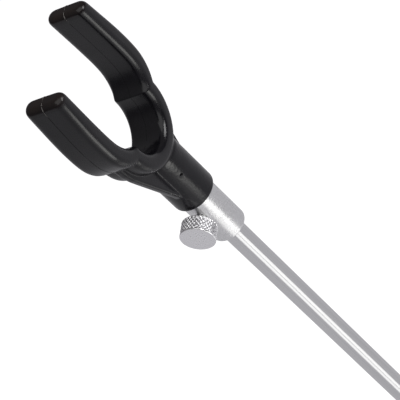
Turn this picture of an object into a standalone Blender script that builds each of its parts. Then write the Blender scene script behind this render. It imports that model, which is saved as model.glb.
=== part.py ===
# Telescopic ground-stick rod holder: a moulded U-shaped rest on a slim
# two-stage aluminium stick with a thumbscrew clamp and a turned ground spike.
# Metres, +Z up the stick, origin at the point of the ground spike.
# X runs from prong to prong, Y is the depth of the rest.

import bpy
import bmesh
from math import sin, cos, pi, radians, sqrt, hypot, atan2
from mathutils import Vector, Matrix

MM = 0.001

# ----------------------------------------------------------------- dimensions
GAP = 0.3 * MM                 # gap kept between pieces that touch
SEG = 40                       # sides of a turned piece

# stick heights, from the point of the spike
HEAD_Z = 435.0 * MM            # datum of the rest: 0 of the outline below
SPIKE_CONE = 20.0 * MM         # length of the ground point
SPIKE_SHOULDER = 24.6 * MM     # where the full diameter ends against the tube
SPIKE_SPIGOT_TOP = 42.0 * MM
COLLAR_BOTTOM = 358.0 * MM
COLLAR_TOP = 388.7 * MM
CLAMP_Z = 380.4 * MM           # axis of the thumbscrew
TRAVEL = 300.0 * MM            # telescopic extension

# radii of the stick
R_TUBE = 6.0 * MM
R_TUBE_IN = 5.2 * MM
R_ROD = 4.5 * MM               # inner tube
R_ROD_IN = 3.7 * MM
R_COLLAR = 9.7 * MM
R_COLLAR_BORE = 6.3 * MM
R_COLLAR_LIP = 5.1 * MM
R_BUSH_BORE = 4.8 * MM
R_SPIGOT = 4.9 * MM
R_PLUG = 3.4 * MM
R_NECK = 3.0 * MM

# thumbscrew
R_KNOB = 8.9 * MM
KNOB_BACK = 13.7 * MM          # distance of the knob's back face from the stick axis
KNOB_FACE = 22.4 * MM          # distance of its outer face
R_SCREW = 2.5 * MM
R_SCREW_HOLE = 2.8 * MM
SCREW_TIP = 6.6 * MM
PAD_FACE = 4.8 * MM
R_PAD = 2.2 * MM

# the rest, outline in its own X-Z plane
BAND_W = 20.0 * MM             # depth of the U
BAND_Y = -1.0 * MM             # middle of the U's depth, from the stick axis
BAND_EDGE = 3.2 * MM           # rounding along the U's edges
TIP_EDGE = 3.0 * MM            # rounding around the prong ends
BULB_C = 10.4 * MM             # centre of the round lower part
R_BULB = 24.7 * MM             # its outside
R_BULB_IN = 15.3 * MM          # and its inside
# prong from waist to tip, outside and inside faces, half width and height in mm
PRONG_OUT = ((24.6, 8.7), (27.7, 11.7), (30.6, 16.0), (32.6, 21.6), (33.3, 28.5),
             (33.2, 36.5), (32.6, 44.5), (31.7, 52.5), (30.3, 64.8))
PRONG_IN = ((15.3, 11.6), (18.6, 14.3), (21.2, 18.6), (22.8, 23.8), (23.3, 30.0),
            (23.2, 37.5), (22.9, 45.5), (22.5, 53.5), (21.9, 64.8))
R_SOCKET = 11.65 * MM
SOCKET_BOTTOM = -46.0 * MM
SOCKET_SHOULDER = -14.0 * MM
SOCKET_TOP = -8.0 * MM
SOCKET_EDGE = 2.0 * MM
WEB_T = 4.2 * MM
WEB_FOOT = (11.0, -35.4)       # where a web runs out on the socket, mm
WEB_HEAD = (27.6, 10.8)        # where it meets the shoulder of the U, mm

# threaded insert in the socket and the stud that screws into it
R_INSERT = 7.5 * MM
R_INSERT_BORE = 4.05 * MM
R_STUD = 3.75 * MM
INSERT_BOTTOM = 390.5 * MM
INSERT_TOP = 414.0 * MM

# ------------------------------------------------------------------- helpers
for old in list(bpy.data.objects):
    bpy.data.objects.remove(old, do_unlink=True)

SCENE = bpy.context.scene


def collection(name):
    c = bpy.data.collections.new(name)
    SCENE.collection.children.link(c)
    return c


PARTS = collection("rod_holder")
CUTTERS = collection("cutters")


def material(name, rgb, rough, metal):
    m = bpy.data.materials.new(name)
    m.use_nodes = True
    b = m.node_tree.nodes["Principled BSDF"]
    b.inputs["Base Color"].default_value = (rgb[0], rgb[1], rgb[2], 1.0)
    b.inputs["Roughness"].default_value = rough
    b.inputs["Metallic"].default_value = metal
    return m


def put(name, mesh, mat, cutter=False, smooth=True):
    o = bpy.data.objects.new(name, mesh)
    (CUTTERS if cutter else PARTS).objects.link(o)
    if cutter:
        o.hide_render = True
        o.display_type = 'WIRE'
    if mat is not None:
        mesh.materials.append(mat)
    if smooth and len(mesh.polygons):
        mesh.shade_smooth()
        mesh.set_sharp_from_angle(angle=radians(35))
    return o


def arc(cx, cz, r, a0, a1, n):
    """Points of an arc in the (radius, height) plane, degrees."""
    return [(cx + r * cos(radians(a0 + (a1 - a0) * i / n)),
             cz + r * sin(radians(a0 + (a1 - a0) * i / n))) for i in range(n + 1)]


def turned(name, profile, mat, closed=False, cutter=False, seg=SEG):
    """A profile of (radius, height) turned about the object's own Z axis."""
    me = bpy.data.meshes.new(name)
    verts = [(r, 0.0, z) for r, z in profile]
    edges = [(i, i + 1) for i in range(len(verts) - 1)]
    if closed:
        edges.append((len(verts) - 1, 0))
    me.from_pydata(verts, edges, [])
    o = put(name, me, mat, cutter=cutter, smooth=False)
    s = o.modifiers.new("turn", 'SCREW')
    s.axis = 'Z'
    s.angle = 2 * pi
    s.steps = seg
    s.render_steps = seg
    s.use_merge_vertices = True
    s.merge_threshold = 0.000001
    s.use_smooth_shade = True
    return o


def cut(o, tool, op='DIFFERENCE'):
    b = o.modifiers.new(op.lower() + "_" + tool.name, 'BOOLEAN')
    b.operation = op
    b.solver = 'EXACT'
    b.object = tool
    return b


def tube_profile(r_out, r_in, z0, z1, edge=0.0, inner=0.0):
    """Closed profile of a tube wall, outer side first, going down."""
    p = []
    if edge > 0:
        p += [(r_out - edge, z1), (r_out - edge * 0.3, z1 - edge * 0.3), (r_out, z1 - edge),
              (r_out, z0 + edge), (r_out - edge * 0.3, z0 + edge * 0.3), (r_out - edge, z0)]
    else:
        p += [(r_out, z1), (r_out, z0)]
    if inner > 0:
        p += [(r_in + inner, z0), (r_in, z0 + inner), (r_in, z1 - inner), (r_in + inner, z1)]
    else:
        p += [(r_in, z0), (r_in, z1)]
    return p


def catmull(pts, per):
    """Smooth curve through a list of points, per steps in each span."""
    out = []
    n = len(pts)
    for i in range(n - 1):
        a = pts[max(i - 1, 0)]
        b = pts[i]
        c = pts[i + 1]
        d = pts[min(i + 2, n - 1)]
        for k in range(per):
            t = k / per
            out.append(tuple(0.5 * (2 * b[j] + (c[j] - a[j]) * t
                                    + (2 * a[j] - 5 * b[j] + 4 * c[j] - d[j]) * t * t
                                    + (3 * b[j] - a[j] - 3 * c[j] + d[j]) * t ** 3) for j in (0, 1)))
    out.append(tuple(pts[-1]))
    return out


# ---------------------------------------------------------------- materials
M_HEAD = material("black_moulding", (0.018, 0.018, 0.020), 0.38, 0.0)
M_INSERT = material("brass_insert", (0.62, 0.44, 0.16), 0.35, 1.0)
M_STUD = material("stud_aluminium", (0.66, 0.66, 0.67), 0.35, 1.0)
M_ROD = material("inner_tube_aluminium", (0.70, 0.70, 0.71), 0.30, 1.0)
M_PLUG = material("plug_aluminium", (0.64, 0.64, 0.65), 0.38, 1.0)
M_SLIDE = material("slide_nylon", (0.80, 0.79, 0.75), 0.50, 0.0)
M_TUBE = material("outer_tube_aluminium", (0.66, 0.66, 0.66), 0.28, 1.0)
M_COLLAR = material("collar_satin_aluminium", (0.76, 0.76, 0.77), 0.45, 1.0)
M_BUSH = material("bush_nylon", (0.10, 0.10, 0.10), 0.50, 0.0)
M_SPIKE = material("spike_turned_aluminium", (0.68, 0.68, 0.68), 0.27, 1.0)
M_KNOB = material("knob_satin_aluminium", (0.78, 0.78, 0.80), 0.42, 1.0)
M_SCREW = material("screw_zinc_steel", (0.55, 0.55, 0.56), 0.35, 1.0)
M_PAD = material("pad_nylon", (0.85, 0.84, 0.80), 0.50, 0.0)

# ------------------------------------------------------------ lower stick
# ground spike: pointed cone, full-diameter shoulder, spigot up the tube
turned("ground_spike",
       [(0.0, SPIKE_SPIGOT_TOP), (R_SPIGOT - 0.6 * MM, SPIKE_SPIGOT_TOP),
        (R_SPIGOT, SPIKE_SPIGOT_TOP - 0.6 * MM), (R_SPIGOT, SPIKE_SHOULDER),
        (R_TUBE - 0.15 * MM, SPIKE_SHOULDER), (R_TUBE, SPIKE_SHOULDER - 0.15 * MM),
        (R_TUBE, SPIKE_CONE), (0.35 * MM, 0.25 * MM), (0.0, 0.0)], M_SPIKE)

TUBE_TOP = 374.0 * MM
turned("outer_tube",
       tube_profile(R_TUBE, R_TUBE_IN, SPIKE_SHOULDER + GAP, TUBE_TOP, edge=0.15 * MM),
       M_TUBE, closed=True)

# collar: counterbored from below for the tube, with a retaining lip on top
e = 1.0 * MM
collar_profile = (
    [(R_COLLAR_LIP + 0.3 * MM, COLLAR_TOP)]
    + arc(R_COLLAR - 0.6 * MM, COLLAR_TOP - 0.6 * MM, 0.6 * MM, 90, 0, 2)
    + arc(R_COLLAR - e, COLLAR_BOTTOM + e, e, 0, -90, 3)
    + [(R_COLLAR_BORE, COLLAR_BOTTOM), (R_COLLAR_BORE, COLLAR_TOP - 1.7 * MM),
       (R_COLLAR_LIP, COLLAR_TOP - 1.7 * MM), (R_COLLAR_LIP, COLLAR_TOP - 0.3 * MM)])
collar = turned("collar", collar_profile, M_COLLAR, closed=True)

# nylon guide bush under the lip
collar_bush = turned("collar_bush",
                     tube_profile(R_COLLAR_BORE - GAP, R_BUSH_BORE, TUBE_TOP + GAP,
                                  COLLAR_TOP - 1.7 * MM - GAP), M_BUSH, closed=True)


def x_cylinder(name, r, x0, x1, z):
    """Cutter along X between two distances on the -X side."""
    bm = bmesh.new()
    bmesh.ops.create_cone(bm, cap_ends=True, segments=20, radius1=r, radius2=r, depth=x1 - x0,
                          matrix=Matrix.Translation((-(x0 + x1) / 2, 0, z))
                          @ Matrix.Rotation(pi / 2, 4, 'Y'))
    me = bpy.data.meshes.new(name)
    bm.to_mesh(me)
    bm.free()
    return put(name, me, None, cutter=True)


screw_way = x_cylinder("screw_way", R_SCREW_HOLE, 3.0 * MM, 12.0 * MM, CLAMP_Z)
cut(collar, screw_way)
cut(collar_bush, screw_way)

# ------------------------------------------------------------ telescopic stage
ROD_BOTTOM = TUBE_TOP + GAP - GAP - TRAVEL + GAP          # slide bush stops on the guide bush
BUSH_TOP = ROD_BOTTOM - GAP
BUSH_LEN = 13.7 * MM
NECK_BOTTOM = BUSH_TOP - BUSH_LEN - GAP
ROD_TOP = COLLAR_TOP + 0.2 * MM

turned("inner_tube",
       tube_profile(R_ROD, R_ROD_IN, ROD_BOTTOM, ROD_TOP, edge=0.12 * MM),
       M_ROD, closed=True)

# plug pressed into the lower end: flange, neck for the slide bush, spigot
turned("inner_end_plug",
       [(0.0, ROD_BOTTOM + 16 * MM), (R_PLUG - 0.4 * MM, ROD_BOTTOM + 16 * MM),
        (R_PLUG, ROD_BOTTOM + 15.6 * MM), (R_PLUG, ROD_BOTTOM - GAP * 0.5),
        (R_NECK, ROD_BOTTOM - GAP * 0.5), (R_NECK, NECK_BOTTOM),
        (4.4 * MM, NECK_BOTTOM), (4.7 * MM, NECK_BOTTOM - 0.3 * MM),
        (4.7 * MM, NECK_BOTTOM - 2.6 * MM), (4.1 * MM, NECK_BOTTOM - 3.2 * MM),
        (0.0, NECK_BOTTOM - 3.2 * MM)], M_PLUG)

# nylon bush that slides in the outer tube
slide_bush = turned("slide_bush",
                    tube_profile(R_SPIGOT, R_PLUG + 0.3 * MM, BUSH_TOP - BUSH_LEN, BUSH_TOP,
                                 edge=0.4 * MM), M_SLIDE, closed=True)

# stud: spigot in the inner tube, flange on its end, thread up into the insert
turned("head_stud",
       [(0.0, INSERT_TOP - 6 * MM), (R_STUD - 0.5 * MM, INSERT_TOP - 6 * MM),
        (R_STUD, INSERT_TOP - 6.5 * MM), (R_STUD, INSERT_BOTTOM - GAP),
        (R_ROD, INSERT_BOTTOM - GAP), (R_ROD, ROD_TOP + GAP),
        (R_PLUG, ROD_TOP + GAP), (R_PLUG, ROD_TOP - 21.6 * MM),
        (R_PLUG - 0.4 * MM, ROD_TOP - 22 * MM), (0.0, ROD_TOP - 22 * MM)], M_STUD)

# brass insert moulded into the socket, with a retaining groove round its middle
im = (INSERT_BOTTOM + INSERT_TOP) / 2
turned("socket_insert",
       [(R_INSERT - 0.3 * MM, INSERT_TOP), (R_INSERT, INSERT_TOP - 0.3 * MM),
        (R_INSERT, INSERT_BOTTOM + 0.3 * MM), (R_INSERT - 0.3 * MM, INSERT_BOTTOM),
        (R_INSERT_BORE + 0.4 * MM, INSERT_BOTTOM), (R_INSERT_BORE, INSERT_BOTTOM + 0.4 * MM),
        (R_INSERT_BORE, INSERT_TOP - 0.4 * MM), (R_INSERT_BORE + 0.4 * MM, INSERT_TOP)],
       M_INSERT, closed=True)

# ------------------------------------------------------------------ the rest
def rounded_section(thick, width, r, n=3):
    """Rounded rectangle: u across the wall's thickness, v across the depth."""
    r = min(r, thick / 2 - 0.05 * MM, width / 2 - 0.05 * MM)
    a, b = thick / 2 - r, width / 2 - r
    pts = []
    for cu, cv, a0 in ((a, b, 0), (-a, b, 90), (-a, -b, 180), (a, -b, 270)):
        for k in range(n + 1):
            t = radians(a0 + 90 * k / n)
            pts.append((cu + r * cos(t), cv + r * sin(t)))
    return pts


def stations():
    """Outside point, inside point and edge inset for each section, from the
    end of the left prong round to the end of the right one."""
    half = []
    # round lower part, from its lowest point up to the waist
    nb = 8
    out_end = atan2(PRONG_OUT[0][1] * MM - BULB_C, PRONG_OUT[0][0] * MM)
    in_end = atan2(PRONG_IN[0][1] * MM - BULB_C, PRONG_IN[0][0] * MM)
    for i in range(nb):
        t = i / nb
        ao = -pi / 2 + (out_end + pi / 2) * t
        ai = -pi / 2 + (in_end + pi / 2) * t
        half.append(((R_BULB * cos(ao), BULB_C + R_BULB * sin(ao)),
                     (R_BULB_IN * cos(ai), BULB_C + R_BULB_IN * sin(ai)), 0.0))
    # prong from the waist to its end
    po = catmull([(x * MM, z * MM) for x, z in PRONG_OUT], 2)
    pi_ = catmull([(x * MM, z * MM) for x, z in PRONG_IN], 2)
    for o, i in zip(po[:-1], pi_[:-1]):
        half.append((o, i, 0.0))
    # rounded end: the section shrinks along a quarter circle
    o1, i1 = Vector(po[-1]), Vector(pi_[-1])
    d = ((o1 - Vector(po[-2])).normalized() + (i1 - Vector(pi_[-2])).normalized()).normalized()
    for k in range(4):
        t = radians(90 * k / 3)
        back = TIP_EDGE * (1 - sin(t))
        inset = TIP_EDGE * (1 - cos(t))
        half.append((tuple(o1 - d * back), tuple(i1 - d * back), inset))
    mirror = [((-o[0], o[1]), (-i[0], i[1]), s) for o, i, s in reversed(half[1:])]
    return mirror + half


def rest_loft(name):
    bm = bmesh.new()
    rings = []
    for o, i, inset in stations():
        o, i = Vector((o[0], 0, o[1])), Vector((i[0], 0, i[1]))
        mid, u = (o + i) / 2, (o - i)
        thick = u.length
        u.normalize()
        sec = rounded_section(thick - 2 * inset, BAND_W - 2 * inset,
                              max(BAND_EDGE - inset * 0.6, 0.4 * MM))
        rings.append([bm.verts.new(mid + u * a + Vector((0, b + BAND_Y, 0))) for a, b in sec])
    n = len(rings[0])
    for r0, r1 in zip(rings[:-1], rings[1:]):
        for k in range(n):
            bm.faces.new((r0[k], r0[(k + 1) % n], r1[(k + 1) % n], r1[k]))
    bm.faces.new(rings[0])
    bm.faces.new(rings[-1])
    bmesh.ops.recalc_face_normals(bm, faces=bm.faces)
    me = bpy.data.meshes.new(name)
    bm.to_mesh(me)
    bm.free()
    return me


def web_mesh(name, side):
    """Flat gusset between the shoulder of the U and the socket."""
    fx, fz = WEB_FOOT[0] * MM, WEB_FOOT[1] * MM
    hx, hz = WEB_HEAD[0] * MM, WEB_HEAD[1] * MM
    outline = [(fx, fz), (hx, hz), (22.0 * MM, 12.5 * MM), (20.5 * MM, 4.0 * MM),
               (12.0 * MM, -7.0 * MM), (9.0 * MM, -9.5 * MM), (9.0 * MM, fz + 1.0 * MM)]
    bm = bmesh.new()
    f = bm.faces.new([bm.verts.new((side * x, BAND_Y - WEB_T / 2, z)) for x, z in outline])
    ext = bmesh.ops.extrude_face_region(bm, geom=[f])
    bmesh.ops.translate(bm, vec=(0, WEB_T, 0),
                        verts=[v for v in ext["geom"] if isinstance(v, bmesh.types.BMVert)])
    bmesh.ops.recalc_face_normals(bm, faces=bm.faces)
    me = bpy.data.meshes.new(name)
    bm.to_mesh(me)
    bm.free()
    return me


head = put("rod_rest_head", rest_loft("rod_rest_head"), M_HEAD)
head.location = (0, 0, HEAD_Z)

socket = turned("socket_form",
                [(0.0, SOCKET_TOP), (8.6 * MM, SOCKET_TOP), (10.6 * MM, SOCKET_TOP - 3.0 * MM),
                 (R_SOCKET, SOCKET_SHOULDER)]
                + arc(R_SOCKET - SOCKET_EDGE, SOCKET_BOTTOM + SOCKET_EDGE, SOCKET_EDGE, 0, -90, 4)
                + [(0.0, SOCKET_BOTTOM)], None, cutter=True)
socket.location = (0, 0, HEAD_Z)
cut(head, socket, 'UNION')
for side, nm in ((-1, "web_left"), (1, "web_right")):
    w = put(nm, web_mesh(nm, side), None, cutter=True, smooth=False)
    w.location = (0, 0, HEAD_Z)
    cut(head, w, 'UNION')
socket_way = turned("socket_way",
                    [(0.0, INSERT_TOP + GAP), (R_INSERT + GAP, INSERT_TOP + GAP),
                     (R_INSERT + GAP, INSERT_BOTTOM - GAP), (R_ROD + GAP, INSERT_BOTTOM - GAP),
                     (R_ROD + GAP, HEAD_Z + SOCKET_BOTTOM - 5 * MM),
                     (0.0, HEAD_Z + SOCKET_BOTTOM - 5 * MM)], None, cutter=True)
cut(head, socket_way)

# -------------------------------------------------------------- thumbscrew
# empty on the screw's axis: its own Z points away from the stick, along -X
axis = bpy.data.objects.new("thumbscrew_axis", None)
PARTS.objects.link(axis)
axis.location = (0, 0, CLAMP_Z)
axis.rotation_euler = (0, -pi / 2, 0)

kb, kf, c = KNOB_BACK, KNOB_FACE, 0.7 * MM
BLIND = KNOB_FACE - 2.6 * MM
knob = turned("thumb_knob",
              [(0.0, kf - 0.35 * MM), (6.2 * MM, kf - 0.35 * MM), (6.9 * MM, kf)]
              + arc(R_KNOB - c, kf - c, c, 90, 0, 3)
              + [(R_KNOB, kb + 1.3 * MM), (R_KNOB - 1.3 * MM, kb),
                 (R_SCREW_HOLE, kb), (R_SCREW_HOLE, BLIND), (0.0, BLIND)], M_KNOB)
screw = turned("thumb_screw",
               [(0.0, BLIND - GAP), (R_SCREW - 0.4 * MM, BLIND - GAP),
                (R_SCREW, BLIND - GAP - 0.4 * MM), (R_SCREW, SCREW_TIP + 0.5 * MM),
                (R_SCREW - 0.5 * MM, SCREW_TIP), (0.0, SCREW_TIP)], M_SCREW, seg=28)
pad = turned("thrust_pad",
             [(0.0, SCREW_TIP - GAP), (R_PAD, SCREW_TIP - GAP), (R_PAD, PAD_FACE + 0.3 * MM),
              (R_PAD - 0.3 * MM, PAD_FACE), (0.0, PAD_FACE)], M_PAD, seg=24)
for o in (knob, screw, pad):
    o.parent = axis
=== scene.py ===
from math import sin, cos, pi, radians, sqrt, floor, atan2

import bpy
import bmesh
from mathutils import Vector, Matrix


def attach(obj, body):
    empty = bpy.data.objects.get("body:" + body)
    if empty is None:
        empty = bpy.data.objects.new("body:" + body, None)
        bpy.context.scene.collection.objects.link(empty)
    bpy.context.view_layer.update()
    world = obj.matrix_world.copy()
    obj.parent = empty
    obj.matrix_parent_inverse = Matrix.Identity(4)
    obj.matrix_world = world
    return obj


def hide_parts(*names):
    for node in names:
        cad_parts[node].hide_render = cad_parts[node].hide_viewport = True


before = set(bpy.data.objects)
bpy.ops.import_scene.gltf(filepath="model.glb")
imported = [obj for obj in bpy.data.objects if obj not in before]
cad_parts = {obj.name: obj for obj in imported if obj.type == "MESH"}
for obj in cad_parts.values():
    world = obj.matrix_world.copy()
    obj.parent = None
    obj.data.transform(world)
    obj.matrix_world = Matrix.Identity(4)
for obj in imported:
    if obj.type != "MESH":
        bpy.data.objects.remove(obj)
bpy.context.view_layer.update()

MM = 0.001
SCENE = bpy.context.scene

# --------------------------------------------------------------------------
# sizes of the model, in millimetres; the socket edge and the gussets differ
# a little from the solids
# --------------------------------------------------------------------------
HEAD_Z = 435.0
BAND_W, BAND_Y, BAND_EDGE, TIP_EDGE = 20.0, -1.0, 3.2, 3.0
BULB_C, R_BULB, R_BULB_IN = 10.4, 24.7, 15.3
PRONG_OUT = ((24.6, 8.7), (27.7, 11.7), (30.6, 16.0), (32.6, 21.6), (33.3, 28.5),
             (33.2, 36.5), (32.6, 44.5), (31.7, 52.5), (30.3, 64.8))
PRONG_IN = ((15.3, 11.6), (18.6, 14.3), (21.2, 18.6), (22.8, 23.8), (23.3, 30.0),
            (23.2, 37.5), (22.9, 45.5), (22.5, 53.5), (21.9, 64.8))
R_SOCKET, SOCKET_BOTTOM, SOCKET_SHOULDER, SOCKET_TOP, SOCKET_EDGE = 11.65, -46.0, -14.0, -8.0, 0.9
WEB_T = 4.2
WEB_FOOT, WEB_HEAD = (11.4, -35.6), (27.2, 11.6)
CLAMP_Z = 380.4
COLLAR_BOTTOM, COLLAR_TOP = 358.0, 388.7
TUBE_BOTTOM, TUBE_TOP = 24.9, 374.0


# --------------------------------------------------------------------------
# mesh helpers, all in millimetres
# --------------------------------------------------------------------------
def finish_mesh(name, bm, smooth=True, angle=35):
    bmesh.ops.recalc_face_normals(bm, faces=bm.faces)
    for v in bm.verts:
        v.co *= MM
    me = bpy.data.meshes.new(name)
    bm.to_mesh(me)
    bm.free()
    o = bpy.data.objects.new(name, me)
    SCENE.collection.objects.link(o)
    if smooth:
        me.shade_smooth()
        me.set_sharp_from_angle(angle=radians(angle))
    return o


def arc(cx, cz, r, a0, a1, n):
    return [(cx + r * cos(radians(a0 + (a1 - a0) * i / n)),
             cz + r * sin(radians(a0 + (a1 - a0) * i / n))) for i in range(n + 1)]


def held(profile, closed):
    """Adds points close to both ends of every long stretch, so that the
    shading of a rounded edge does not run out over it."""
    out = []
    n = len(profile)
    for i, a in enumerate(profile):
        out.append(a)
        if i == n - 1 and not closed:
            break
        b = profile[(i + 1) % n]
        d = sqrt((b[0] - a[0]) ** 2 + (b[1] - a[1]) ** 2)
        if d > 1.2:
            for t in (0.2 / d, 1 - 0.2 / d):
                out.append((a[0] + (b[0] - a[0]) * t, a[1] + (b[1] - a[1]) * t))
    return out


def lathe(name, profile, seg=128, closed=False, wobble=None, place=None, angle=35):
    """Turned surface. profile runs (radius, height); an end on the axis closes
    there, closed=True joins last to first. wobble(radius, height, turn) gives
    the radius at a point, for knurls and threads."""
    bm = bmesh.new()
    rings = []
    for r, z in held(profile, closed):
        if r < 1e-6:
            rings.append([bm.verts.new((0, 0, z))])
        else:
            ring = []
            for k in range(seg):
                t = 2 * pi * k / seg
                rr = wobble(r, z, k / seg) if wobble else r
                ring.append(bm.verts.new((rr * cos(t), rr * sin(t), z)))
            rings.append(ring)
    pairs = list(zip(rings[:-1], rings[1:]))
    if closed:
        pairs.append((rings[-1], rings[0]))
    for a, b in pairs:
        for k in range(seg):
            j = (k + 1) % seg
            if len(a) == 1 and len(b) == 1:
                continue
            if len(a) == 1:
                bm.faces.new((a[0], b[j], b[k]))
            elif len(b) == 1:
                bm.faces.new((a[k], a[j], b[0]))
            else:
                bm.faces.new((a[k], a[j], b[j], b[k]))
    if place is not None:
        bm.transform(place)
    return finish_mesh(name, bm, angle=angle)


def steps(a, b, n):
    return [a + (b - a) * i / n for i in range(n + 1)]


def wall(r_out, r_in, z0, z1, eo=0.15, ei=0.1, n=3):
    """Closed tube-wall profile with small rounded edges."""
    p = arc(r_out - eo, z1 - eo, eo, 90, 0, n) + arc(r_out - eo, z0 + eo, eo, 0, -90, n)
    p += [(r + 0, z) for r, z in arc(r_in + ei, z0 + ei, ei, 270, 180, n)]
    p += arc(r_in + ei, z1 - ei, ei, 180, 90, n)
    return p


def catmull(pts, per):
    out = []
    n = len(pts)
    for i in range(n - 1):
        a, b = pts[max(i - 1, 0)], pts[i]
        c, d = pts[i + 1], pts[min(i + 2, n - 1)]
        for k in range(per):
            t = k / per
            out.append(tuple(0.5 * (2 * b[j] + (c[j] - a[j]) * t
                                    + (2 * a[j] - 5 * b[j] + 4 * c[j] - d[j]) * t * t
                                    + (3 * b[j] - a[j] - 3 * c[j] + d[j]) * t ** 3) for j in (0, 1)))
    out.append(tuple(pts[-1]))
    return out


def boolean(o, tool, op):
    m = o.modifiers.new(op, 'BOOLEAN')
    m.operation = op
    m.solver = 'EXACT'
    m.object = tool


def bake(o):
    """Replaces an object's mesh by what its modifiers make of it."""
    bpy.context.view_layer.update()
    dg = bpy.context.evaluated_depsgraph_get()
    me = bpy.data.meshes.new_from_object(o.evaluated_get(dg))
    o.modifiers.clear()
    old = o.data
    o.data = me
    if old.users == 0:
        bpy.data.meshes.remove(old)
    return o


def drop(*objs):
    for o in objs:
        bpy.data.objects.remove(o, do_unlink=True)


# --------------------------------------------------------------------------
# shader helpers
# --------------------------------------------------------------------------
class Mat:
    def __init__(self, name):
        self.m = bpy.data.materials.new(name)
        self.m.use_nodes = True
        self.nt = self.m.node_tree
        self.b = self.nt.nodes["Principled BSDF"]
        self.tc = self.node("ShaderNodeTexCoord")

    def node(self, kind, **kw):
        n = self.nt.nodes.new(kind)
        for k, v in kw.items():
            setattr(n, k, v)
        return n

    def link(self, a, b):
        self.nt.links.new(a, b)

    def mapped(self, scale, coord="Object"):
        mp = self.node("ShaderNodeMapping")
        mp.inputs["Scale"].default_value = scale
        self.link(self.tc.outputs[coord], mp.inputs["Vector"])
        return mp.outputs["Vector"]

    def noise(self, scale, vec=(1, 1, 1), detail=4.0, rough=0.55):
        n = self.node("ShaderNodeTexNoise")
        n.inputs["Scale"].default_value = scale
        n.inputs["Detail"].default_value = detail
        n.inputs["Roughness"].default_value = rough
        self.link(self.mapped(vec), n.inputs["Vector"])
        return n.outputs["Fac"]

    def ramp(self, fac, stops):
        r = self.node("ShaderNodeValToRGB")
        e = r.color_ramp.elements
        while len(e) < len(stops):
            e.new(0.5)
        for el, (p, c) in zip(e, stops):
            el.position = p
            el.color = (c[0], c[1], c[2], 1.0) if isinstance(c, tuple) else (c, c, c, 1.0)
        self.link(fac, r.inputs["Fac"])
        return r.outputs["Color"]

    def span(self, fac, lo, hi, f0=0.3, f1=0.7):
        r = self.node("ShaderNodeMapRange")
        r.inputs["From Min"].default_value = f0
        r.inputs["From Max"].default_value = f1
        r.inputs["To Min"].default_value = lo
        r.inputs["To Max"].default_value = hi
        self.link(fac, r.inputs["Value"])
        return r.outputs["Result"]

    def band(self, z0, z1):
        """0 at height z0, 1 at z1, millimetres."""
        sep = self.node("ShaderNodeSeparateXYZ")
        self.link(self.tc.outputs["Object"], sep.inputs[0])
        return self.span(sep.outputs["Z"], 0.0, 1.0, z0 * MM, z1 * MM)

    def bump(self, height, strength, distance, below=None):
        n = self.node("ShaderNodeBump")
        if isinstance(strength, bpy.types.NodeSocket):
            self.link(strength, n.inputs["Strength"])
        else:
            n.inputs["Strength"].default_value = strength
        n.inputs["Distance"].default_value = distance
        self.link(height, n.inputs["Height"])
        if below is not None:
            self.link(below, n.inputs["Normal"])
        return n.outputs["Normal"]

    def set(self, name, v):
        s = self.b.inputs[name]
        if hasattr(v, "is_output") or isinstance(v, bpy.types.NodeSocket):
            self.link(v, s)
        else:
            s.default_value = (v[0], v[1], v[2], 1.0) if isinstance(v, tuple) else v
        return self


def give(o, mat):
    o.data.materials.clear()
    o.data.materials.append(mat.m)


def assign_cad(node, mat):
    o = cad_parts[node]
    if not o.material_slots:
        o.data.materials.append(mat.m)
    for s in o.material_slots:
        s.material = mat.m


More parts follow.
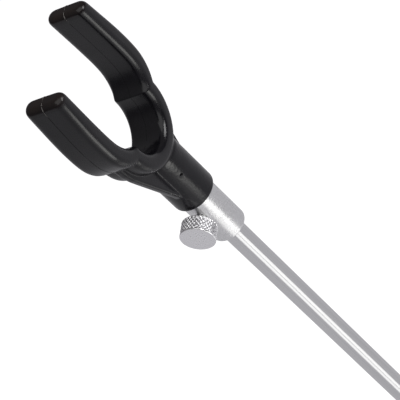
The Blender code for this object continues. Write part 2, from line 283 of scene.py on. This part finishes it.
# --------------------------------------------------------------------------
# materials
# --------------------------------------------------------------------------
def black_moulding():
    m = Mat("black_moulding")
    # matt patches where the mould was rubbed down, glossier elsewhere
    patch = m.noise(140.0, detail=3.0)
    fine = m.noise(900.0, detail=2.0)
    black = m.ramp(patch, [(0.30, (0.0034, 0.0031, 0.0044)), (0.70, (0.0056, 0.0051, 0.0072))])
    # painted warm reflection: the prong ends are tinted a faint brown
    mix = m.node("ShaderNodeMix", data_type='RGBA')
    m.link(m.band(HEAD_Z + 61.0, HEAD_Z + 64.4), mix.inputs[0])
    m.link(black, mix.inputs[6])
    m.link(m.ramp(patch, [(0.30, (0.0062, 0.0040, 0.0034)), (0.70, (0.0130, 0.0066, 0.0046))]), mix.inputs[7])
    m.set("Base Color", mix.outputs[2])
    # glossier below the rest, where fingers never reach the gussets
    low_part = m.node("ShaderNodeMath", operation="MULTIPLY")
    m.link(m.band(HEAD_Z + 1.0, HEAD_Z - 4.0), low_part.inputs[0])
    low_part.inputs[1].default_value = 0.10
    gloss = m.node("ShaderNodeMath", operation="SUBTRACT")
    m.link(m.span(patch, 0.22, 0.31), gloss.inputs[0])
    m.link(low_part.outputs[0], gloss.inputs[1])
    m.set("Roughness", gloss.outputs[0])
    # the socket's front is grainier than the band
    grain = m.noise(800.0, detail=4.0, rough=0.6)
    sock = m.node("ShaderNodeMath", operation="MULTIPLY")
    m.link(m.band(HEAD_Z - 6.0, HEAD_Z - 14.0), sock.inputs[0])
    sock.inputs[1].default_value = 0.40
    sep = m.node("ShaderNodeSeparateXYZ")
    m.link(m.tc.outputs["Object"], sep.inputs[0])
    ax = m.node("ShaderNodeMath", operation="ABSOLUTE")
    m.link(sep.outputs["X"], ax.inputs[0])
    round_part = m.node("ShaderNodeMath", operation="MULTIPLY")
    m.link(m.span(ax.outputs[0], 1.0, 0.0, 11.6 * MM, 12.4 * MM), round_part.inputs[0])
    m.link(sock.outputs[0], round_part.inputs[1])
    front_part = m.node("ShaderNodeMath", operation="MULTIPLY")
    m.link(m.span(sep.outputs["Y"], 1.0, 0.0, -5.5 * MM, -1.5 * MM), front_part.inputs[0])
    m.link(round_part.outputs[0], front_part.inputs[1])
    sock = front_part
    base = m.node("ShaderNodeMath", operation="ADD")
    m.link(sock.outputs[0], base.inputs[0])
    base.inputs[1].default_value = 0.19
    # faint sinks in the broad faces
    low = m.noise(75.0, detail=1.5, rough=0.4)
    n = m.bump(low, 0.42, 0.0007)
    n = m.bump(grain, base.outputs[0], 0.0002, below=n)
    n = m.bump(fine, 0.06, 0.0001, below=n)
    m.set("Normal", n)
    m.set("Specular IOR Level", 0.40)
    return m


def mould_flash():
    """The parting line: dull in its length, with a painted highlight that makes it paler where it crosses the ends."""
    m = Mat("mould_flash")
    g = m.noise(700.0, detail=3.0)
    mix = m.node("ShaderNodeMix", data_type='RGBA')
    # painted highlight: the flash is coloured pale where it crosses the prong ends
    m.link(m.band(HEAD_Z + 59.0, HEAD_Z + 62.0), mix.inputs[0])
    m.link(m.ramp(g, [(0.30, (0.0016, 0.0015, 0.0018)), (0.70, (0.0040, 0.0037, 0.0044))]), mix.inputs[6])
    m.link(m.ramp(g, [(0.38, (0.030, 0.027, 0.025)), (0.60, (0.200, 0.190, 0.180))]), mix.inputs[7])
    m.set("Base Color", mix.outputs[2])
    m.set("Roughness", m.span(g, 0.55, 0.72))
    m.set("Normal", m.bump(g, 0.25, 0.0001))
    m.set("Specular IOR Level", 0.15)
    return m


def drawn_aluminium(name, base=0.76, rough=0.15):
    """Tube drawn through a die: hair lines along its length."""
    m = Mat(name)
    lines = m.noise(1.0, vec=(2600.0, 2600.0, 3.0), detail=4.0, rough=0.6)
    broad = m.noise(1.0, vec=(520.0, 520.0, 1.5), detail=2.0)
    cloud = m.noise(60.0, detail=3.0)
    m.set("Base Color", m.ramp(lines, [(0.30, (base * 0.93, base * 0.93, base * 0.945)),
                                       (0.70, (base * 1.04, base * 1.04, base * 1.045))]))
    m.set("Metallic", 1.0)
    mix = m.node("ShaderNodeMath", operation="ADD")
    m.link(m.span(lines, -0.025, 0.025), mix.inputs[0])
    m.link(m.span(cloud, rough - 0.015, rough + 0.025), mix.inputs[1])
    m.set("Roughness", mix.outputs[0])
    n = m.bump(broad, 0.006, 0.0002)
    n = m.bump(lines, 0.05, 0.00005, below=n)
    m.set("Normal", n)
    return m


def satin_aluminium(name, base=0.78, rough=0.40, grain=2200.0, strength=0.22):
    """Blasted and anodised: fine grain, slightly blotchy."""
    m = Mat(name)
    g = m.noise(grain, detail=3.0, rough=0.7)
    cloud = m.noise(120.0, detail=3.0)
    m.set("Base Color", m.ramp(g, [(0.32, (base * 0.87, base * 0.87, base * 0.88)),
                                   (0.68, (base * 1.07, base * 1.07, base * 1.075))]))
    m.set("Metallic", 1.0)
    m.set("Roughness", m.span(cloud, rough - 0.03, rough + 0.05))
    m.set("Normal", m.bump(g, strength, 0.0001))
    return m


def knurled_aluminium(name, base=0.93, rough=0.25):
    """Satin metal with painted shade in the knurl grooves. The knob's
    axis runs along X at the clamp height."""
    m = Mat(name)
    g = m.noise(900.0, detail=3.0)
    sep = m.node("ShaderNodeSeparateXYZ")
    m.link(m.tc.outputs["Object"], sep.inputs[0])

    def op(kind, a, b):
        n = m.node("ShaderNodeMath", operation=kind)
        for k, v in enumerate((a, b)):
            if isinstance(v, (int, float)):
                n.inputs[k].default_value = v
            else:
                m.link(v, n.inputs[k])
        return n.outputs[0]

    z = op("SUBTRACT", sep.outputs["Z"], CLAMP_Z * MM)
    y = sep.outputs["Y"]
    r = op("SQRT", op("ADD", op("MULTIPLY", y, y), op("MULTIPLY", z, z)), 0.0)
    # painted shade: the bottoms of the knurl grooves are coloured a darker grey
    groove = m.span(r, 1.0, 0.0, 8.46 * MM, 8.66 * MM)
    side = m.span(sep.outputs["X"], 0.0, 1.0, -22.15 * MM, -22.0 * MM)
    side = op("MULTIPLY", side, m.span(r, 0.0, 1.0, 7.9 * MM, 8.1 * MM))
    groove_shade = op("MULTIPLY", groove, side)
    mix = m.node("ShaderNodeMix", data_type='RGBA')
    m.link(groove_shade, mix.inputs[0])
    m.link(m.ramp(g, [(0.30, (base * 0.95, base * 0.945, base * 0.965)),
                      (0.70, (base * 1.03, base * 1.025, base * 1.04))]), mix.inputs[6])
    mix.inputs[7].default_value = (0.76, 0.76, 0.77, 1)
    m.set("Base Color", mix.outputs[2])
    m.set("Metallic", 1.0)
    m.set("Roughness", m.span(g, rough - 0.03, rough + 0.06))
    m.set("Normal", m.bump(g, 0.22, 0.00006))
    return m


def turned_aluminium(name, base=0.74, rough=0.26, axis=(1.0, 1.0, 2600.0)):
    """Lathe-turned surface: fine rings across the axis."""
    m = Mat(name)
    rings = m.noise(1.0, vec=axis, detail=3.0, rough=0.6)
    cloud = m.noise(150.0, detail=3.0)
    m.set("Base Color", m.ramp(rings, [(0.30, (base * 0.93, base * 0.93, base * 0.94)),
                                       (0.70, (base * 1.04, base * 1.04, base * 1.045))]))
    m.set("Metallic", 1.0)
    m.set("Roughness", m.span(cloud, rough - 0.02, rough + 0.05))
    m.set("Normal", m.bump(rings, 0.12, 0.00005))
    return m


def brass():
    m = Mat("brass_insert")
    g = m.noise(1.0, vec=(30.0, 30.0, 2600.0), detail=3.0)
    cloud = m.noise(220.0)
    m.set("Base Color", m.ramp(cloud, [(0.30, (0.50, 0.33, 0.10)), (0.70, (0.68, 0.48, 0.18))]))
    m.set("Metallic", 1.0)
    m.set("Roughness", m.span(cloud, 0.28, 0.42))
    m.set("Normal", m.bump(g, 0.15, 0.00005))
    return m


def nylon(name, lo, hi):
    m = Mat(name)
    c = m.noise(300.0, detail=4.0)
    m.set("Base Color", m.ramp(c, [(0.30, lo), (0.70, hi)]))
    m.set("Roughness", m.span(c, 0.42, 0.55))
    m.set("Subsurface Weight", 0.06)
    m.set("Normal", m.bump(m.noise(1800.0, detail=2.0), 0.10, 0.00005))
    return m


MAT_HEAD = black_moulding()
MAT_FLASH = mould_flash()
MAT_TUBE = drawn_aluminium("drawn_outer_tube")
MAT_ROD = drawn_aluminium("drawn_inner_tube", base=0.80, rough=0.13)
MAT_COLLAR = satin_aluminium("satin_collar", base=0.82, rough=0.27, grain=1050.0, strength=0.5)
MAT_KNOB = knurled_aluminium("knurled_knob")
MAT_SPIKE = turned_aluminium("turned_spike")
MAT_SCREW = turned_aluminium("zinc_screw", base=0.52, rough=0.30, axis=(2600.0, 30.0, 30.0))
MAT_STUD = turned_aluminium("turned_stud", base=0.70, rough=0.30)
MAT_PLUG = turned_aluminium("turned_plug", base=0.68, rough=0.33)
MAT_BRASS = brass()
MAT_SLIDE = nylon("slide_nylon", (0.70, 0.69, 0.63), (0.82, 0.81, 0.76))
MAT_PAD = nylon("pad_nylon", (0.74, 0.73, 0.68), (0.86, 0.85, 0.80))
MAT_BUSH = nylon("bush_nylon", (0.030, 0.030, 0.032), (0.055, 0.055, 0.058))


# --------------------------------------------------------------------------
# the rest: U band, socket and webs run together in one moulding
# --------------------------------------------------------------------------
DRAFT = 0.008      # slope of the band's two faces, away from mid depth
SKIN = 0.04        # the flash line stands this proud


def rounded_section(thick, width, r, n):
    """Band section, n points a corner; both faces slope from mid depth."""
    thick -= 2 * SKIN
    r = min(r, thick / 2 - 0.05, width / 2 - 0.05)
    a, b = thick / 2 - r, width / 2 - r
    pts = []
    for cu, cv, a0 in ((a, b, 0), (-a, b, 90), (-a, -b, 180), (a, -b, 270)):
        if a0 in (0, 180):
            s = 1 if a0 == 0 else -1
            pts.append((s * (a + r), 0.0))
        for k in range(n + 1):
            t = radians(a0 + 90 * k / n)
            u, v = cu + r * cos(t), cv + r * sin(t)
            pts.append((u * (1 - DRAFT * abs(v) / (a + r)), v))
    return pts


def half_outline(nb, per):
    half = []
    out_end = atan2(PRONG_OUT[0][1] - BULB_C, PRONG_OUT[0][0])
    in_end = atan2(PRONG_IN[0][1] - BULB_C, PRONG_IN[0][0])
    for i in range(nb):
        t = i / nb
        ao = -pi / 2 + (out_end + pi / 2) * t
        ai = -pi / 2 + (in_end + pi / 2) * t
        half.append(((R_BULB * cos(ao), BULB_C + R_BULB * sin(ao)),
                     (R_BULB_IN * cos(ai), BULB_C + R_BULB_IN * sin(ai)), 0.0))
    po, pn = catmull(PRONG_OUT, per), catmull(PRONG_IN, per)
    for o, i in zip(po[:-1], pn[:-1]):
        half.append((o, i, 0.0))
    o1, i1 = Vector(po[-1]), Vector(pn[-1])
    d = ((o1 - Vector(po[-2])).normalized() + (i1 - Vector(pn[-2])).normalized()).normalized()
    o1, i1 = o1 - d * SKIN, i1 - d * SKIN
    nt = 8
    # the last prong station may lie past the start of the rounding: drop it
    while half and (Vector(half[-1][0]) - (o1 - d * TIP_EDGE)).dot(d) > -0.2:
        half.pop()
    for k in range(nt + 1):
        t = radians(90 * k / nt)
        half.append((tuple(o1 - d * TIP_EDGE * (1 - sin(t))), tuple(i1 - d * TIP_EDGE * (1 - sin(t))),
                     TIP_EDGE * (1 - cos(t))))
    return half


def make_rest():
    half = half_outline(36, 8)
    full = [((-o[0], o[1]), (-i[0], i[1]), s) for o, i, s in reversed(half[1:])] + half
    bm = bmesh.new()
    rings = []
    for o, i, inset in full:
        o, i = Vector((o[0], 0, o[1])), Vector((i[0], 0, i[1]))
        i += (i - o).normalized() * 0.2         # the smoothing below takes this off again
        mid, u = (o + i) / 2, (o - i)
        thick = u.length
        u.normalize()
        sec = rounded_section(thick - 2 * inset, BAND_W + 1.2 - 2 * inset,
                              max(BAND_EDGE + 0.6 - inset * 0.6, 0.4), 8)
        rings.append([bm.verts.new(mid + u * a + Vector((0, b + BAND_Y, 0))) for a, b in sec])
    n = len(rings[0])
    for r0, r1 in zip(rings[:-1], rings[1:]):
        for k in range(n):
            bm.faces.new((r0[k], r0[(k + 1) % n], r1[(k + 1) % n], r1[k]))
    bm.faces.new(rings[0])
    bm.faces.new(rings[-1])
    bm.transform(Matrix.Translation((0, 0, HEAD_Z)))
    rest = finish_mesh("rest_moulding", bm)

    tools = []
    sock = lathe("rest_socket_form",
                 [(0.0, SOCKET_TOP), (8.6, SOCKET_TOP), (10.6, SOCKET_TOP - 3.0), (R_SOCKET, SOCKET_SHOULDER)]
                 + arc(R_SOCKET - SOCKET_EDGE, SOCKET_BOTTOM + SOCKET_EDGE, SOCKET_EDGE, 0, -90, 8)
                 + [(0.0, SOCKET_BOTTOM)], seg=128, place=Matrix.Translation((0, 0, HEAD_Z)))
    tools.append(sock)
    boolean(rest, sock, 'UNION')
    for side in (-1, 1):
        fx, fz = WEB_FOOT
        hx, hz = WEB_HEAD
        outline = [(fx, fz), (23.2, -5.3), (25.0, -0.4), (26.4, 5.0), (hx, hz), (22.0, 12.5), (20.5, 4.0), (12.0, -7.0), (9.0, -9.5), (9.0, fz + 1.0)]
        bm = bmesh.new()
        f = bm.faces.new([bm.verts.new((side * x, BAND_Y - WEB_T / 2, z)) for x, z in outline])
        ext = bmesh.ops.extrude_face_region(bm, geom=[f])
        bmesh.ops.translate(bm, vec=(0, WEB_T, 0),
                            verts=[v for v in ext["geom"] if isinstance(v, bmesh.types.BMVert)])
        bm.transform(Matrix.Translation((0, 0, HEAD_Z)))
        w = finish_mesh("rest_web_form_%d" % (side + 1), bm, smooth=False)
        bv = w.modifiers.new("rim", 'BEVEL')
        bv.width = 1.4 * MM
        bv.segments = 5
        bv.limit_method = 'ANGLE'
        bv.angle_limit = radians(60)
        tools.append(w)
        boolean(rest, w, 'UNION')
    way = lathe("rest_bore_form",
                [(0.0, 414.3), (7.8, 414.3), (7.8, 390.2), (4.8, 390.2), (4.8, 383.0), (0.0, 383.0)], seg=96)
    tools.append(way)
    boolean(rest, way, 'DIFFERENCE')
    bake(rest)
    drop(*tools)
    # one skin: the joins between band, socket and webs get the small fillets
    # that a moulding has
    rm = rest.modifiers.new("skin", 'REMESH')
    rm.mode = 'VOXEL'
    rm.voxel_size = 0.33 * MM
    rm.adaptivity = 0.0
    rm.use_smooth_shade = True
    sm = rest.modifiers.new("soften", 'SMOOTH')
    sm.factor = 0.5
    sm.iterations = 9
    bake(rest)
    # small gate pit low on the front of the socket
    c = Vector((R_SOCKET * cos(radians(-128.9)), R_SOCKET * sin(radians(-128.9)), HEAD_Z - 24.2)) * MM
    inward = Vector((-c.x, -c.y, 0)).normalized()
    for v in rest.data.vertices:
        d = (v.co - c).length / MM
        if d < 2.0:
            v.co += inward * (1.3 * max(0.0, 1 - (d / 0.85) ** 2) - 0.10 * max(0.0, 1 - abs(d - 1.15) / 0.35)) * MM
    rest.data.shade_smooth()
    return rest


rest = make_rest()
give(rest, MAT_HEAD)
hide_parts("rod_rest_head")
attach(rest, "rest")


FLASH_R = 0.22      # radius of the flash bead
PROUD_OUT, PROUD_IN, PROUD_TIP = 0.07, 0.045, 0.125


def parting_line():
    """Thin flash where the two mould halves met, at mid depth round the band."""
    stations = [(o, i) for o, i, inset in half_outline(36, 8) if inset < 0.01]
    outer = [o for o, i in stations]
    inner = [i for o, i in stations]
    last = half_outline(36, 8)[-1]
    tip_o, tip_i = Vector(last[0]), Vector(last[1])
    # over the rounded prong end, from the outside face to the inside one
    u = (tip_o - tip_i).normalized()
    up = Vector((-u.y, u.x))
    over = []
    for k in range(9):
        t = radians(90 * k / 8)
        over.append(tip_o - u * TIP_EDGE * (1 - cos(t)) - up * TIP_EDGE * (1 - sin(t)))
    over2 = []
    for k in range(9):
        t = radians(90 - 90 * k / 8)
        over2.append(tip_i + u * TIP_EDGE * (1 - cos(t)) - up * TIP_EDGE * (1 - sin(t)))
    side = ([(p, PROUD_OUT) for p in outer[37:]] + [(tuple(v), PROUD_TIP) for v in over + over2]
            + [(p, PROUD_IN) for p in reversed(inner[2:])])
    objs = []
    for sgn, nm in ((-1, "left"), (1, "right")):
        cu = bpy.data.curves.new("parting_line_" + nm, 'CURVE')
        cu.dimensions = '3D'
        cu.bevel_depth = FLASH_R * MM
        cu.bevel_resolution = 2
        cu.use_fill_caps = True
        sp = cu.splines.new('POLY')
        sp.points.add(len(side) - 1)
        for p, ((x, z), proud) in zip(sp.points, side):
            at = Vector((sgn * x * MM, BAND_Y * MM, (HEAD_Z + z) * MM))
            hit, on, facing_out, _ = rest.closest_point_on_mesh(at)
            c = on - facing_out.normalized() * (FLASH_R - proud) * MM
            top = (HEAD_Z + 64.79 - FLASH_R) * MM
            edge = (33.32 - FLASH_R) * MM
            p.co = (max(-edge, min(edge, c.x)), BAND_Y * MM, min(c.z, top), 1.0)
        o = bpy.data.objects.new("parting_line_" + nm, cu)
        SCENE.collection.objects.link(o)
        cu.materials.append(MAT_FLASH.m)
        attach(o, "rest")
        objs.append(o)
    return objs


parting_line()

# --------------------------------------------------------------------------
# metal parts
# --------------------------------------------------------------------------
outer = lathe("outer_tube_drawn", wall(6.0, 5.2, TUBE_BOTTOM, TUBE_TOP), seg=144, closed=True)
give(outer, MAT_TUBE)
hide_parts("outer_tube")
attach(outer, "stick")

inner_t = lathe("inner_tube_drawn", wall(4.5, 3.7, 74.3, 388.9), seg=128, closed=True)
give(inner_t, MAT_ROD)
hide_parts("inner_tube")
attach(inner_t, "rest")

spike = lathe("ground_spike_turned",
              [(0.0, 42.0), (4.3, 42.0), (4.9, 41.4), (4.9, 24.6), (5.75, 24.6)]
              + arc(5.75, 24.35, 0.25, 90, 0, 3)
              + [(6.0, 20.25), (5.97, 19.95)]
              + [(5.97 * k / 24, 19.95 * k / 24 + 0.0) for k in range(23, 1, -1)]
              + [(0.37, 1.15), (0.27, 0.6), (0.16, 0.2), (0.0, 0.0)], seg=144, angle=12)
give(spike, MAT_SPIKE)
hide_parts("ground_spike")
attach(spike, "stick")

# collar, with a slightly countersunk tapped hole for the thumbscrew
collar = lathe("collar_satin",
               arc(9.7 - 0.6, COLLAR_TOP - 0.6, 0.6, 90, 0, 5)
               + arc(9.7 - 1.1, COLLAR_BOTTOM + 1.1, 1.1, 0, -90, 8)
               + [(6.55, COLLAR_BOTTOM), (6.3, COLLAR_BOTTOM + 0.25), (6.3, COLLAR_TOP - 1.7),
                  (5.1, COLLAR_TOP - 1.7), (5.1, COLLAR_TOP - 0.3), (5.4, COLLAR_TOP)],
               seg=144, closed=True, angle=30)
hole = lathe("collar_hole_form", [(0.0, 13.0), (3.1 + 2.0, 13.0), (2.8, 9.62), (2.8, 3.0), (0.0, 3.0)], seg=64,
             place=Matrix.Translation((0, 0, CLAMP_Z)) @ Matrix.Rotation(-pi / 2, 4, 'Y'))
boolean(collar, hole, 'DIFFERENCE')
bake(collar)
drop(hole)
collar.data.set_sharp_from_angle(angle=radians(30))
give(collar, MAT_COLLAR)
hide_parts("collar")
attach(collar, "stick")

# knob: diamond knurl round the rim, smooth dished face
KNOB = Matrix.Translation((0, 0, CLAMP_Z)) @ Matrix.Rotation(-pi / 2, 4, 'Y')
N_KNURL, P_KNURL, D_KNURL = 30, 2.3, 0.42
K0, K1 = 14.7, 21.6            # knurled stretch, from the stick axis


def tri(x):
    f = x - floor(x)
    return min(f, 1 - f) * 2    # 0 on the groove, 1 half-way


def knurl(r, z, turn):
    if r < 8.6:
        return r
    u = N_KNURL * turn + z / P_KNURL
    v = N_KNURL * turn - z / P_KNURL
    g = min(1.0, tri(u) * 1.5, tri(v) * 1.5)
    fade = max(0.0, min(1.0, (z - K0) / 0.35)) * max(0.0, min(1.0, (K1 - z) / 0.35))
    return r - D_KNURL * (1 - g) * fade


knob_profile = ([(0.0, 22.18)] + [(8.5 * k / 16, 22.30 + 0.10 * (k / 16) ** 3) for k in range(1, 17)]
                + arc(8.9 - 0.35, 22.4 - 0.35, 0.35, 90, 0, 4)
                + [(8.9, z) for z in steps(22.05, 14.8, 70)[1:]]
                + [(8.75, 14.5), (8.45, 14.2), (8.0, 13.9), (7.5, 13.72), (7.0, 13.7),
                   (2.9, 13.7), (2.8, 13.8), (2.8, 19.8), (0.0, 19.8)])
knob = lathe("thumb_knob_knurled", knob_profile, seg=N_KNURL * 10, wobble=knurl, place=KNOB, angle=24)
give(knob, MAT_KNOB)
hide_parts("thumb_knob")
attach(knob, "thumbscrew")


def thread(depth, pitch, z0, z1, hand=1):
    """Radius change of a helical thread between two heights."""
    def f(r, z, turn):
        if r < 2.0:
            return r
        fade = max(0.0, min(1.0, (z - z0) / (pitch * 0.8))) * max(0.0, min(1.0, (z1 - z) / (pitch * 0.8)))
        g = min(1.0, tri(z / pitch - hand * turn) * 1.5)
        return r - depth * (1 - g) * fade
    return f


screw = lathe("thumb_screw_m5",
              [(0.0, 19.5), (2.1, 19.5), (2.5, 19.1)] + [(2.5, z) for z in steps(19.0, 7.2, 148)]
              + [(2.45, 7.1), (2.0, 6.6), (0.0, 6.6)],
              seg=48, wobble=thread(0.42, 0.8, 7.2, 19.1), place=KNOB, angle=60)
give(screw, MAT_SCREW)
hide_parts("thumb_screw")
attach(screw, "thumbscrew")

# stud: spigot, flange and thread
stud = lathe("head_stud_threaded",
             [(0.0, 408.0), (3.2, 408.0), (3.75, 407.4)] + [(3.75, z) for z in steps(407.3, 392.0, 150)]
             + [(3.3, 391.7), (3.3, 390.6), (3.4, 390.2), (4.4, 390.2), (4.5, 390.1), (4.5, 389.3), (4.4, 389.2),
                (3.4, 389.2), (3.4, 367.7), (3.0, 367.3), (0.0, 367.3)],
             seg=64, wobble=lambda r, z, t: thread(0.5, 1.25, 392.0, 407.4)(r, z, t) if 3.7 < r < 3.8 else r, angle=60)
give(stud, MAT_STUD)
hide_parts("head_stud")
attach(stud, "rest")


def insert_wobble(r, z, turn):
    if r > 7.4 and (391.4 < z < 400.4 or 404.1 < z < 413.1):
        return r - 0.3 * (1 - min(1.0, tri(36 * turn) * 1.4))
    return r


insert = lathe("socket_insert_knurled",
               [(7.2, 414.0), (7.5, 413.7)] + [(7.5, z) for z in steps(413.2, 404.0, 8)]
               + [(6.9, 403.6), (6.9, 400.9)] + [(7.5, z) for z in steps(400.5, 391.3, 8)]
               + [(7.5, 390.8), (7.2, 390.5), (4.45, 390.5), (4.05, 390.9)]
               + [(4.05, z) for z in steps(391.2, 413.3, 12)] + [(4.05, 413.6), (4.45, 414.0)],
               seg=36 * 6, closed=True, wobble=insert_wobble, angle=40)
give(insert, MAT_BRASS)
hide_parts("socket_insert")
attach(insert, "rest")

plug = lathe("inner_end_plug_turned",
             [(0.0, 90.3), (3.0, 90.3), (3.4, 89.9), (3.4, 74.15), (3.0, 74.15), (3.0, 60.0)]
             + [(4.4, 60.0), (4.7, 59.7), (4.7, 57.4), (4.1, 56.8), (0.0, 56.8)], seg=96, angle=30)
give(plug, MAT_PLUG)
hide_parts("inner_end_plug")
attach(plug, "rest")

slide = lathe("slide_bush_moulded",
              arc(4.9 - 0.4, 74.0 - 0.4, 0.4, 90, 0, 4)
              + [(4.9, 71.5), (4.7, 71.2), (4.7, 70.2), (4.9, 69.9), (4.9, 64.4), (4.7, 64.1), (4.7, 63.1), (4.9, 62.8)]
              + arc(4.9 - 0.4, 60.3 + 0.4, 0.4, 0, -90, 4)
              + [(3.8, 60.3), (3.7, 60.4), (3.7, 73.9), (3.8, 74.0)], seg=96, closed=True, angle=30)
give(slide, MAT_SLIDE)
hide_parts("slide_bush")
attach(slide, "slider")

for node, mat in (("collar_bush", MAT_BUSH), ("thrust_pad", MAT_PAD)):
    assign_cad(node, mat)

# --------------------------------------------------------------------------
# floor, light and camera
# --------------------------------------------------------------------------
def make_floor():
    bm = bmesh.new()
    bmesh.ops.create_grid(bm, x_segments=8, y_segments=8, size=3000.0)
    bm.transform(Matrix.Translation((0, 0, -0.2)))
    o = finish_mesh("floor", bm)
    m = bpy.data.materials.new("pale_floor")
    m.use_nodes = True
    nt = m.node_tree
    b = nt.nodes["Principled BSDF"]
    b.inputs["Base Color"].default_value = (0.62, 0.62, 0.62, 1)
    b.inputs["Roughness"].default_value = 0.9
    b.inputs["Specular IOR Level"].default_value = 0.0
    out = nt.nodes["Material Output"]

    def node(kind, **kw):
        n = nt.nodes.new(kind)
        for k, v in kw.items():
            setattr(n, k, v)
        return n

    # one plain tone all over: white seen straight on, pale grey in reflections
    em2 = node("ShaderNodeEmission")
    em2.inputs["Color"].default_value = (0.99, 0.98, 1.02, 1)
    em2.inputs["Strength"].default_value = 0.50
    em = node("ShaderNodeEmission")
    em.inputs["Color"].default_value = (1, 1, 1, 1)
    em.inputs["Strength"].default_value = 0.84
    add = node("ShaderNodeAddShader")
    lp = node("ShaderNodeLightPath")
    mix = node("ShaderNodeMixShader")
    nt.links.new(b.outputs[0], add.inputs[0])
    nt.links.new(em.outputs[0], add.inputs[1])
    nt.links.new(lp.outputs["Is Camera Ray"], mix.inputs[0])
    nt.links.new(em2.outputs[0], mix.inputs[1])
    nt.links.new(add.outputs[0], mix.inputs[2])
    nt.links.new(mix.outputs[0], out.inputs["Surface"])
    o.data.materials.append(m)
    return o


make_floor()

world = bpy.data.worlds.new("studio")
SCENE.world = world
world.use_nodes = True
wn = world.node_tree
bg = wn.nodes["Background"]
bg.inputs["Strength"].default_value = 1.0
wtc = wn.nodes.new("ShaderNodeTexCoord")
wsep = wn.nodes.new("ShaderNodeSeparateXYZ")
wramp = wn.nodes.new("ShaderNodeValToRGB")
wn.links.new(wtc.outputs["Generated"], wsep.inputs[0])
wmap = wn.nodes.new("ShaderNodeMapRange")
wmap.inputs["From Min"].default_value = -0.1
wmap.inputs["From Max"].default_value = 1.0
wn.links.new(wsep.outputs["Z"], wmap.inputs["Value"])
wn.links.new(wmap.outputs["Result"], wramp.inputs["Fac"])
we = wramp.color_ramp.elements
we[0].position, we[0].color = 0.0, (0.14, 0.137, 0.148, 1)
we[1].position, we[1].color = 1.0, (0.26, 0.255, 0.26, 1)
wm = we.new(0.33)
wm.color = (0.12, 0.117, 0.126, 1)
wm = we.new(0.46)
wm.color = (0.20, 0.195, 0.203, 1)
wn.links.new(wramp.outputs["Color"], bg.inputs["Color"])
# plain white where the camera looks straight at it
bg_seen = wn.nodes.new("ShaderNodeBackground")
bg_seen.inputs["Color"].default_value = (0.99, 0.99, 0.99, 1)
wlp = wn.nodes.new("ShaderNodeLightPath")
wmix = wn.nodes.new("ShaderNodeMixShader")
wn.links.new(wlp.outputs["Is Camera Ray"], wmix.inputs[0])
wn.links.new(bg.outputs[0], wmix.inputs[1])
wn.links.new(bg_seen.outputs[0], wmix.inputs[2])
wn.links.new(wmix.outputs[0], wn.nodes["World Output"].inputs["Surface"])


def area(name, loc, target, w, h, power, color=(1, 1, 1)):
    l = bpy.data.lights.new(name, 'AREA')
    l.shape = 'RECTANGLE'
    l.size, l.size_y = w, h
    l.energy = power
    l.color = color
    o = bpy.data.objects.new(name, l)
    SCENE.collection.objects.link(o)
    o.location = loc
    d = Vector(target) - Vector(loc)
    o.rotation_euler = d.to_track_quat('-Z', 'Y').to_euler()
    o.visible_camera = False
    return o


def strip(name, azimuth, dist, z0, z1, width, radiance):
    """Upright strip light facing the stick, of a given radiance."""
    a = radians(azimuth)
    h = z1 - z0
    # power of a flat lambertian emitter
    return area(name, (dist * cos(a), dist * sin(a), (z0 + z1) / 2), (0, 0, (z0 + z1) / 2),
                width, h, radiance * pi * width * h, (1.0, 1.0, 0.955))


strip("strip_low_left", -151.5, 0.12, 0.0, 0.28, 0.050, 0.77)
strip("strip_low_right", -122.5, 0.12, 0.0, 0.28, 0.056, 0.81)
strip("strip_high_left", -151, 0.24, 0.215, 0.40, 0.095, 0.5)
strip("strip_high_right", -126.5, 0.24, 0.225, 0.40, 0.116, 3.5)
area("lamp_high", (0.11, -0.42, 0.68), (0, 0, HEAD_Z * MM), 0.22, 0.22, 6.6 * pi * 0.0484)
area("top_soft", (-0.5, -0.4, 1.6), (0, 0, 0.3), 1.4, 1.4, 6.0)

cam = bpy.data.cameras.new("camera")
co = bpy.data.objects.new("camera", cam)
SCENE.collection.objects.link(co)
right, up, out = Vector((0.1304, -0.8211, -0.5556)), Vector((0.8152, -0.2302, 0.5315)), Vector((-0.5644, -0.5222, 0.6394))
out.normalize()
right = (right - out * right.dot(out)).normalized()
up = out.cross(right)
rot = Matrix((right, up, out)).transposed()
co.matrix_world = Matrix.Translation(Vector((-0.41945, -0.38693, 0.42213 + HEAD_Z * MM))) @ rot.to_4x4()
cam.sensor_fit = 'HORIZONTAL'
cam.sensor_width = 36.0
cam.lens = 1535.3 * 36.0 / 400.0
cam.clip_start = 0.01
SCENE.camera = co
SCENE.view_settings.view_transform = 'Standard'
SCENE.view_settings.look = 'None'
